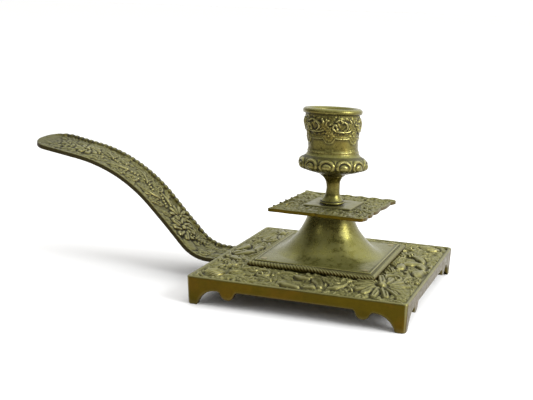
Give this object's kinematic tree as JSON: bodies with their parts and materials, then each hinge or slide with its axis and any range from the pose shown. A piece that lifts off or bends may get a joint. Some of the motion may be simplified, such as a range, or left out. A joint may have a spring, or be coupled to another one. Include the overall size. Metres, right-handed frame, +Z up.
{
  "type": "chamber candlestick",
  "caption": "Low brass candlestick: square relief base on cut-out skirt, bell pedestal, square drip pan, turned neck, candle cup and a flat ornamented side handle.",
  "frame": {"origin": "on the table under the middle of the whole outline, base and handle together", "axes": "+Z up; the handle points along -X and the candle axis stands at about x = 0.053 m"},
  "size_m": [0.2056, 0.1, 0.0867],
  "materials": {
    "cast_brass": "aged cast brass, olive brown patina with dark recesses and pale worn high spots",
    "turned_brass": "aged turned brass, satin, olive patina",
    "fastener_brass": "plain dull brass, lightly tarnished"
  },
  "bodies": {
    "root": {"base_casting": "cast_brass", "handle": "cast_brass", "drip_pan": "cast_brass", "pedestal_bell": "turned_brass", "baluster_stem": "turned_brass", "candle_cup": "turned_brass", "tie_washer": "fastener_brass", "tie_nut": "fastener_brass", "bell_screw_1": "fastener_brass", "bell_screw_2": "fastener_brass", "bell_screw_3": "fastener_brass", "bell_screw_4": "fastener_brass", "handle_screw_1": "fastener_brass", "handle_screw_2": "fastener_brass"}
  },
  "joints": []
}
